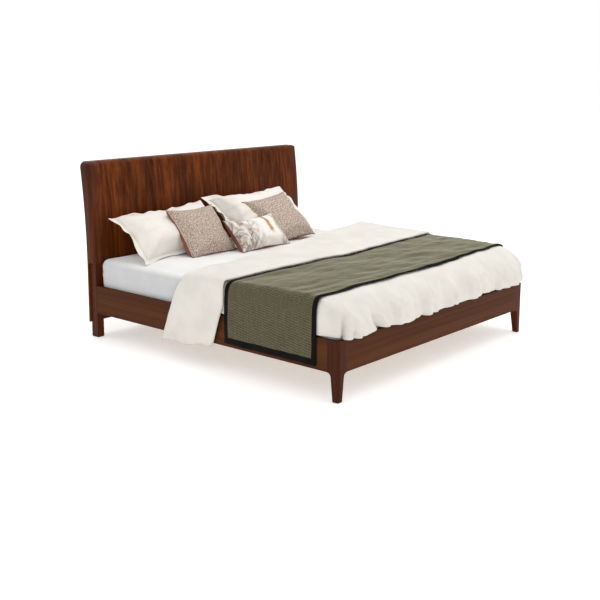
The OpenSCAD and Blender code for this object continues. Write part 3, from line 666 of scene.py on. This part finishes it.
def turned_back():
    """The duvet's head end, turned back over the duvet and hanging down both sides."""
    line, s = across_path(x_out=1.019, z_top=fold_top, z_hem=0.142, a=0.085, b=0.17, n=5.0, step=0.012)
    v = np.linspace(0, 1, 44)
    x, z = line[:, :1], line[:, 1:]
    hang = np.clip(0.585 - z, 0, 1)
    # both hanging edges run slantwise toward the head
    y0 = runner_edges(x)[1] + 0.001 + np.clip(0.42 - z, 0, 1) * 0.34
    y1 = head_edge(x) + hang * 0.42
    p = swept(x, y0 * (1 - v) + y1 * v, z)
    on_top = ramp(p[..., 2], fold_top - 0.2, fold_top)
    p[..., 2] += puff_height(p[..., 0].ravel(), p[..., 1].ravel()).reshape(on_top.shape) * on_top
    swing = 0.0072 * hanging_waves(p, 0.26, 0.25, 41)
    p[..., 0] += np.sign(x) * np.abs(swing) * ramp(hang, 0.03, 0.4)
    # the hem sags a little, and its head corner hangs lower
    p[..., 2] += ramp(hang, 0.30, 0.44) * (0.008 * np.sin(v * 9.0 + 0.6) - 0.030 * ramp(v, 0.1, 1.0))
    uv = np.stack([np.broadcast_to(s[:, None], on_top.shape), p[..., 1]], -1)
    return padded_grid("duvet_turned_back", p, 0.017, 0.016, uv, [cotton_duvet])


fold = turned_back()


def runner():
    """The bed runner, and its flat size: a woven band with a dark border, hanging down both sides."""
    line, s = across_path(x_out=1.0045, z_top=duvet_top + 0.006, z_hem=0.185, a=0.081, b=0.255, n=4.4,
                          step=0.010)
    width, reach, band = run_hi.y - run_lo.y, s[-1], 0.036
    v = np.linspace(0, 1, 66)
    x, z = line[:, :1], line[:, 1:]
    foot_side, head_side = runner_edges(x)
    p = swept(x, foot_side + (head_side - foot_side) * v, z)
    flat = p[..., :2].reshape(-1, 2)
    on_top = ramp(p[..., 2], duvet_top - 0.16, duvet_top)
    # long shallow creases across the top
    crease = 0.0016 * waves(flat @ np.array([[0.45, 0.0], [0.35, 1.5]]), 0.16, 51, 2)
    p[..., 2] += (puff_height(flat[:, 0], flat[:, 1]) + crease).reshape(on_top.shape) * on_top + 0.0015
    # the cloth follows the padded foot edge down where that edge falls away
    fall = np.clip((foot_y + 0.175 - p[..., 1]) / 0.175, 0, 1)
    p[..., 2] -= 0.055 * fall ** 2 * ramp(p[..., 2], 0.5, duvet_top)
    swing = 0.0045 * hanging_waves(p, 0.30, 0.5, 52)
    p[..., 0] += np.sign(x) * np.abs(swing) * ramp(0.56 - z, 0.06, 0.3)
    uv = np.stack([np.broadcast_to(s[:, None], on_top.shape), np.broadcast_to(width * v, on_top.shape)], -1)

    def pick(c):
        """1 for the border and 0 for the woven middle."""
        from_hem = reach - np.abs(c[:, 0])
        from_side = np.minimum(c[:, 1], width - c[:, 1])
        return (np.minimum(from_hem, from_side) < band).astype(int)

    obj = padded_grid("bed_runner_soft", p, 0.004, 0.003, uv, [weave, border], pick)
    return obj, (2 * reach, width)


bed_runner, runner_flat = runner()


# ---------------------------------------------------------------- pillows and cushions
def bag(name, w, h, thick, front, back, pull, ahead):
    """Two crowned panels sewn together round their edge, lying flat: x across, y up, z to the front. The
    sides pull in between the corners, and the front panel takes the share ahead of the thickness."""
    cell, crowding, sharp = 0.0105, math.pi / 2 * 0.86, 2.2
    nx, ny = max(9, int(w / cell)), max(9, int(h / cell))
    u = np.sin(np.linspace(-1, 1, nx) * crowding) / math.sin(crowding)
    v = np.sin(np.linspace(-1, 1, ny) * crowding) / math.sin(crowding)
    uu, vv = np.meshgrid(u, v, indexing="ij")
    dome = ((1 - np.abs(uu) ** sharp) * (1 - np.abs(vv) ** sharp)) ** 0.5
    x = uu * (w / 2 - pull * (1 - vv ** 2) * np.abs(uu) ** 3)
    y = vv * (h / 2 - pull * (1 - uu ** 2) * np.abs(vv) ** 3)
    top = np.stack([x, y, thick * ahead * dome], -1)
    low = np.stack([x, y, thick * (ahead - 1) * dome], -1)
    inner, ids, f_top, f_low = two_layers(nx, ny)
    verts = np.concatenate([top.reshape(-1, 3), low[inner]])
    uv = np.stack([(uu + 1) / 2, (vv + 1) / 2], -1)
    uvs = np.concatenate([uv.reshape(-1, 2), uv[inner]])
    index = np.concatenate([np.zeros(len(f_top)), np.ones(len(f_low))])
    obj = new_object(name, verts, np.concatenate([f_top, f_low]), uvs, [front, back], index)
    ring = np.concatenate([ids[:, 0], ids[-1, 1:], ids[-2::-1, -1], ids[0, -2:0:-1]])
    return obj, {"ring": ring, "uv": uvs, "h": h}


def get(o):
    """The places of an object's points."""
    co = np.zeros(len(o.data.vertices) * 3)
    o.data.vertices.foreach_get("co", co)
    return co.reshape(-1, 3)


def put(o, co):
    o.data.vertices.foreach_set("co", np.asarray(co, float).ravel())
    o.data.update()


def inflate(bags, pressure, cap, frames=20):
    """Cloth simulation under pressure, with the movement held to cap."""
    rest = {o.name: get(o) for o in bags}
    for o in bags:
        m = o.modifiers.new("cloth", "CLOTH")
        m.point_cache.frame_start, m.point_cache.frame_end = 1, frames
        m.settings.quality = 6
        m.settings.mass = 0.25
        m.settings.tension_stiffness = m.settings.compression_stiffness = 18
        m.settings.shear_stiffness = 6
        m.settings.bending_stiffness = 0.35
        m.settings.use_pressure = True
        m.settings.uniform_pressure_force = pressure
        m.settings.effector_weights.gravity = 0
    for f in range(1, frames + 1):
        scene.frame_set(f)
    deps = bpy.context.evaluated_depsgraph_get()
    moved = {o.name: get(o.evaluated_get(deps)) for o in bags}
    for o in bags:
        d = moved[o.name] - rest[o.name]
        d -= d.mean(0)
        n = np.linalg.norm(d, axis=1, keepdims=True)
        d *= np.where(n > 1e-9, cap * np.tanh(n / cap) / np.maximum(n, 1e-9), 1)
        o.modifiers.clear()
        put(o, rest[o.name] + d)
    scene.frame_set(1)


def lean(yaw, tilt, roll):
    """Axes of a piece that leans back: its width, its height and its front."""
    a, t, q = np.radians([yaw, tilt, roll])
    ex = np.array([np.cos(a), np.sin(a), 0.0])
    back = np.array([-np.sin(a), np.cos(a), 0.0])
    ey = np.cos(t) * back + np.sin(t) * np.array([0, 0, 1.0])
    ex, ey = np.cos(q) * ex + np.sin(q) * ey, -np.sin(q) * ex + np.cos(q) * ey
    return ex, ey, np.cross(ex, ey)


def settle(p, centre, axes, floor_z, wall_y=None):
    """Points of a leaning piece in their place, pressed flat on the bed, and on the wall if it has one."""
    ex, ey, ez = axes
    q = np.asarray(centre) + p[:, :1] * ex + p[:, 1:2] * ey + p[:, 2:] * ez
    inside = np.minimum(sheet_hi.x - abs(q[:, 0]), sheet_hi.y - q[:, 1])
    floor_z = floor_z - crown * (1 - ramp(inside, 0.0, crown_reach))
    low = floor_z - q[:, 2]
    q[:, 2] = np.where(low > 0, floor_z + 0.0036 * np.tanh(low / 0.05), q[:, 2])
    if wall_y is not None:
        deep = q[:, 1] - wall_y
        q[:, 1] = np.where(deep > 0, wall_y - 0.002 * np.tanh(deep / 0.02), q[:, 1])
    return q


def piece(name, at, angles, w, h, thick, front, back, pull, ahead=0.5):
    """A bag with the place of its middle and its yaw, tilt and roll in degrees."""
    o, info = bag(name, w, h, thick, front, back, pull, ahead)
    info.update(at=at, axes=lean(*angles))
    return o, info


soft_pieces = {
    "cushion_left": piece("cushion_left_soft", (-0.446, 0.567, 0.695), (1.0, 50.6, 0.0),
                          0.434, 0.414, 0.138, knit, rust, 0.013, 0.42),
    "cushion_right": piece("cushion_right_soft", (0.274, 0.537, 0.709), (-6.7, 43.9, 7.2),
                           0.446, 0.440, 0.138, knit, rust, 0.013, 0.42),
    "lumbar_cushion": piece("lumbar_cushion_soft", (-0.078, 0.416, 0.656), (1.8, 47.6, 0.0),
                            0.498, 0.296, 0.115, marble, rust, 0.014, 0.45),
    "pillow_left": piece("pillow_left_soft", (-0.546, 0.727, 0.702), (-9.0, 38.1, 6.1),
                         0.724, 0.414, 0.165, cotton_pillow, cotton_pillow, 0.018),
    "pillow_right": piece("pillow_right_soft", (0.270, 0.712, 0.732), (-5.0, 36.5, 2.6),
                          0.727, 0.450, 0.170, cotton_pillow, cotton_pillow, 0.018),
}
inflate([o for o, _ in soft_pieces.values()], pressure=4.0, cap=0.020)


def flange(o, info, width, seed):
    """The flat double border sewn round a pillow, waving and with square corners."""
    rim = get(o)[info["ring"]]
    uv = info["uv"][info["ring"]] * 2 - 1
    out = np.sign(uv) * np.abs(uv) ** 10
    arc = np.concatenate([[0], np.cumsum(np.linalg.norm(np.diff(rim, axis=0), axis=1))])
    total = arc[-1] + np.linalg.norm(rim[0] - rim[-1])
    angle = arc / total * 2 * math.pi
    loop = np.stack([np.cos(angle), np.sin(angle)], 1)
    lift = 0.013 * waves(loop, 0.55, seed, 2) + 0.010 * waves(loop, 1.9, seed + 1, 1)
    uneven = 0.003 * waves(loop, 0.25, seed + 2, 1)[:, None]
    rows, tucked, half_thick = 7, -0.12, 0.0018
    middle = []
    for k in np.linspace(tucked, 1, rows):
        q = rim.copy()
        q[:, :2] += out * (width * k + uneven * max(k, 0))
        q[:, 2] += lift * max(k, 0) ** 1.3
        middle.append(q)
    middle = np.array(middle)
    upper, lower = middle + [0, 0, half_thick], middle[:-1] - [0, 0, half_thick]
    upper[-1] = middle[-1]
    n = len(rim)
    verts = np.concatenate([upper.reshape(-1, 3), lower.reshape(-1, 3)])
    low_ids = np.concatenate([rows * n + np.arange((rows - 1) * n), (rows - 1) * n + np.arange(n)])
    front = ring_faces(rows, n)
    inner = [[i, (i + 1) % n, low_ids[(i + 1) % n], low_ids[i]] for i in range(n)]
    faces = np.concatenate([front, low_ids[front[:, ::-1]], inner])
    return new_object(o.name + "_flange", verts, faces, verts[:, :2], [cotton_pillow])


def cloth_wrinkles(p, uv, height, seed):
    """Small creases that run in from the seams."""
    uv = uv * 2 - 1
    near = np.maximum(abs(uv[:, 0]), abs(uv[:, 1]))
    edge = ramp(near, 0.25, 0.9) * (1 - ramp(near, 0.97, 1.0))
    angle = np.arctan2(uv[:, 1], uv[:, 0])
    around = np.stack([np.cos(angle), np.sin(angle)], 1)
    p[:, 2] += np.sign(p[:, 2]) * height * (0.35 + edge) * waves(
        np.concatenate([around, p[:, :2] * 1.5], 1), 0.5, seed, 2)
    return p


def belly(p, half_h, pillow):
    """A filled piece is thicker toward its bottom edge, and a pillow also bends back at both ends."""
    v = p[:, 1] / half_h
    p = p.copy()
    if pillow:
        p[:, 2] = p[:, 2] * (1.12 - 0.16 * v) - 0.012 * v ** 2
    else:
        p[:, 2] *= 1.03 - 0.06 * v
    return p


for name, (o, info) in soft_pieces.items():
    kind = name.split("_")[0]
    pillow = kind == "pillow"
    half_h = info["h"] / 2
    hem = flange(o, info, 0.034, 61 if "left" in name else 71) if pillow else None
    p = cloth_wrinkles(get(o), info["uv"], 0.005 if pillow else 0.0022, 81 + len(name))
    wall = head_y - 0.004 if pillow else None
    put(o, settle(belly(p, half_h, pillow), info["at"], info["axes"], bed_top + 0.004, wall))
    if pillow:
        p = belly(get(hem), half_h, pillow)
        put(hem, settle(p, info["at"], info["axes"], bed_top + 0.003, wall + 0.001))
        with bpy.context.temp_override(active_object=o, object=o, selected_objects=[o, hem],
                                       selected_editable_objects=[o, hem]):
            bpy.ops.object.join()
    fine = o.modifiers.new("fine", "SUBSURF")
    fine.levels = fine.render_levels = 1
    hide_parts(name)
    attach(o, "root")


def piping(o, info, name, radius, around=8):
    """The cord sewn into the seam round a cushion."""
    p = get(o)[info["ring"]]
    tangent = np.roll(p, -1, 0) - np.roll(p, 1, 0)
    tangent /= np.linalg.norm(tangent, axis=1, keepdims=True)
    side = np.cross(tangent, info["axes"][2])
    side /= np.linalg.norm(side, axis=1, keepdims=True)
    up = np.cross(side, tangent)
    turns = np.linspace(0, 2 * math.pi, around, endpoint=False)
    verts = np.stack([p + radius * (np.cos(a) * side + np.sin(a) * up) for a in turns], 1).reshape(-1, 3)
    faces = []
    for i in range(len(p)):
        here, there = i * around, (i + 1) % len(p) * around
        for j in range(around):
            k = (j + 1) % around
            faces.append([here + j, there + j, there + k, here + k])
    obj = new_object(name, verts, faces, verts[:, :2], [rust])
    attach(obj, "root")


for name in ("cushion_left", "cushion_right", "lumbar_cushion"):
    piping(*soft_pieces[name], name + "_piping", 0.0028)

# ---------------------------------------------------------------- what rides, and which CAD parts the soft pieces replace
for o, node, slot_name in ((mattress, "mattress", "mattress_ticking"),
                           (fitted, "fitted_sheet", "sheet_cotton"),
                           (duvet, "duvet", "duvet_cotton"),
                           (bed_runner, "bed_runner", "runner_weave")):
    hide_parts(node)
    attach(o, "root")
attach(fold, "root")

# ---------------------------------------------------------------- floor, light, camera
n = Nodes("studio_floor")
speck = n.noise(n.coords(), 3.0, 2)
floor_material = n.finish(n.mix(speck, (0.80, 0.797, 0.795), (0.82, 0.817, 0.815)), 0.95, 0.0)
n.put(n.shader, "Emission Color", (1.0, 0.985, 0.975, 1))
n.put(n.shader, "Emission Strength", 0.42)
bpy.ops.mesh.primitive_plane_add(size=60, location=(0, 0, 0))
floor = bpy.context.object
floor.name = "studio_floor"
floor.data.materials.append(floor_material)

world = bpy.data.worlds.new("studio")
scene.world = world
world.use_nodes = True
background = world.node_tree.nodes["Background"]
background.inputs["Color"].default_value = (1.0, 1.0, 1.0, 1)
background.inputs["Strength"].default_value = 1.0


def softbox(name, at, to, size, power, colour=(1, 1, 1)):
    """A rectangular light at one place that shines toward another."""
    light = bpy.data.lights.new(name, "AREA")
    light.shape = "RECTANGLE"
    light.size, light.size_y = size
    light.energy = power
    light.color = colour
    o = bpy.data.objects.new(name, light)
    o.location = at
    o.rotation_euler = (Vector(to) - Vector(at)).to_track_quat("-Z", "Y").to_euler()
    scene.collection.objects.link(o)


softbox("key", (0.8, -0.3, 4.8), (0, 0, 0.4), (4.0, 3.0), 78)
softbox("front", (1.6, -5.5, 2.4), (0, 0, 0.5), (3.0, 2.4), 6, (1.0, 0.985, 0.965))

camera = bpy.data.objects.new("camera", bpy.data.cameras.new("camera"))
scene.collection.objects.link(camera)
scene.camera = camera
azimuth, elevation, tilt = math.radians(-53.266), math.radians(10.58), math.radians(1.109)
back = Vector((math.sin(azimuth) * math.cos(elevation), -math.cos(azimuth) * math.cos(elevation),
               math.sin(elevation)))
camera.location = (-5.1336, -4.4825, 1.8741)
camera.rotation_euler = (back.to_track_quat("Z", "Y") @ Quaternion((0, 0, 1), tilt)).to_euler()
camera.data.sensor_width = 36.0
camera.data.lens = 61.504
camera.data.shift_x, camera.data.shift_y = -0.1455, -0.0867
camera.data.clip_end = 200
